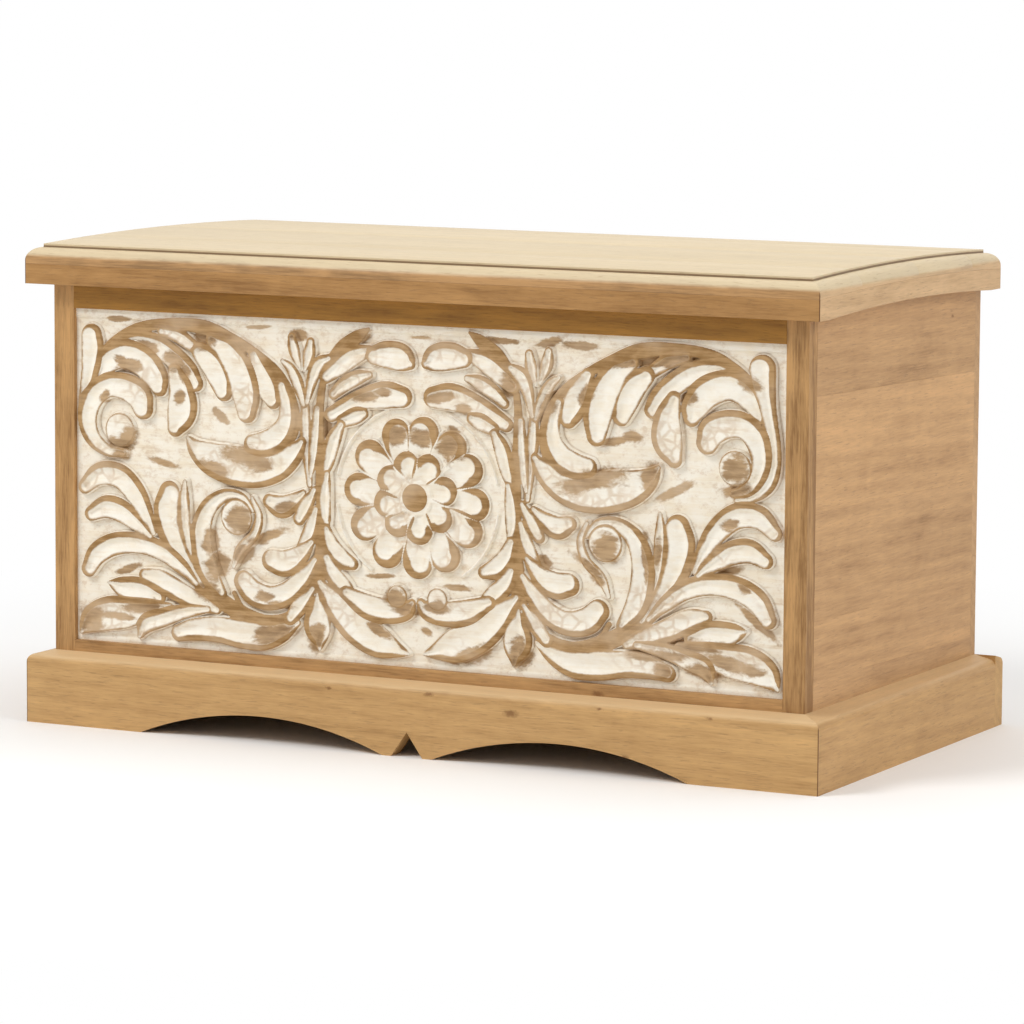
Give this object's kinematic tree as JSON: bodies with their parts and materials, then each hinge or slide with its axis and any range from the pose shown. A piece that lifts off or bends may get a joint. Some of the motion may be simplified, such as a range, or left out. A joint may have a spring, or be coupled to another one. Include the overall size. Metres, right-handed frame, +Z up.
{
  "type": "carved wooden trunk",
  "caption": "Plank storage trunk with a front panel carved with scrolls and a rosette, a moulded plinth, and a crowned lid on butt hinges with a folding stay.",
  "frame": {"origin": "on the floor, at the middle of the footprint", "axes": "+X along the width to the right of someone facing the carved front, +Y from the carved front to the hinged back, +Z up"},
  "size_m": [0.9056, 0.487, 0.5076],
  "materials": {
    "carved_wood": "carved, white wash rubbed back to brown on the raised edges",
    "frame_wood": "clear matt",
    "wall_wood": "clear matt",
    "plinth_wood": "clear matt",
    "lid_wood": "clear satin",
    "inside_wood": "bare",
    "brass": "satin, slightly aged",
    "steel": "zinc plated"
  },
  "bodies": {
    "chest": {"back_board_1": "wall_wood", "back_board_2": "wall_wood", "back_board_3": "wall_wood", "back_floor_cleat": "inside_wood", "back_left_corner_post": "inside_wood", "back_right_corner_post": "inside_wood", "carved_panel": "carved_wood", "floor_panel": "inside_wood", "front_bottom_rail": "frame_wood", "front_floor_cleat": "inside_wood", "front_left_corner_post": "inside_wood", "front_left_stile": "frame_wood", "front_right_corner_post": "inside_wood", "front_right_stile": "frame_wood", "front_top_rail": "frame_wood", "hinge_chest_screws": "steel", "hinge_left_chest_leaf": "brass", "hinge_left_pin": "brass", "hinge_rail": "inside_wood", "hinge_right_chest_leaf": "brass", "hinge_right_pin": "brass", "left_side_board_1": "wall_wood", "left_side_board_2": "wall_wood", "left_side_board_3": "wall_wood", "left_side_board_4": "wall_wood", "left_side_bottom_rail": "wall_wood", "plinth_back": "plinth_wood", "plinth_corner_blocks": "inside_wood", "plinth_front": "plinth_wood", "plinth_left": "plinth_wood", "plinth_right": "plinth_wood", "right_side_board_1": "wall_wood", "right_side_board_2": "wall_wood", "right_side_board_3": "wall_wood", "right_side_board_4": "wall_wood", "right_side_bottom_rail": "wall_wood", "stay_chest_plate": "brass", "stay_chest_screws": "steel", "stay_foot_rivet": "brass"},
    "lid": {"hinge_left_lid_leaf": "brass", "hinge_lid_screws": "steel", "hinge_right_lid_leaf": "brass", "lid_back_skirt": "lid_wood", "lid_front_skirt": "lid_wood", "lid_left_batten": "lid_wood", "lid_left_skirt": "lid_wood", "lid_plank_1": "lid_wood", "lid_plank_2": "lid_wood", "lid_plank_3": "lid_wood", "lid_plank_4": "lid_wood", "lid_right_batten": "lid_wood", "lid_right_skirt": "lid_wood", "stay_lid_ear": "brass", "stay_lid_rivet": "brass", "stay_lid_screws": "steel"},
    "lower_arm": {"stay_lower_arm": "brass", "stay_elbow_rivet": "brass"},
    "upper_arm": {"stay_upper_arm": "brass"}
  },
  "joints": [
    {"name": "lid_hinge", "type": "hinge", "parent": "chest", "child": "lid", "pos_m": [0, 0.22995, 0.462], "axis": [-1, 0, 0], "range_deg": [0, 95]},
    {"name": "stay_foot_pivot", "type": "hinge", "parent": "chest", "child": "lower_arm", "pos_m": [-0.4055, 0.13795, 0.331], "axis": [-1, 0, 0], "range_deg": [0, 95]},
    {"name": "stay_elbow_pivot", "type": "hinge", "parent": "lower_arm", "child": "upper_arm", "pos_m": [-0.4025, -0.02205, 0.316], "axis": [-1, 0, 0], "range_deg": [-95, 0]}
  ],
  "couplings": [
    {"joint": "stay_foot_pivot", "follows": "lid_hinge", "ratio": 1},
    {"joint": "stay_elbow_pivot", "follows": "lid_hinge", "ratio": -1}
  ]
}
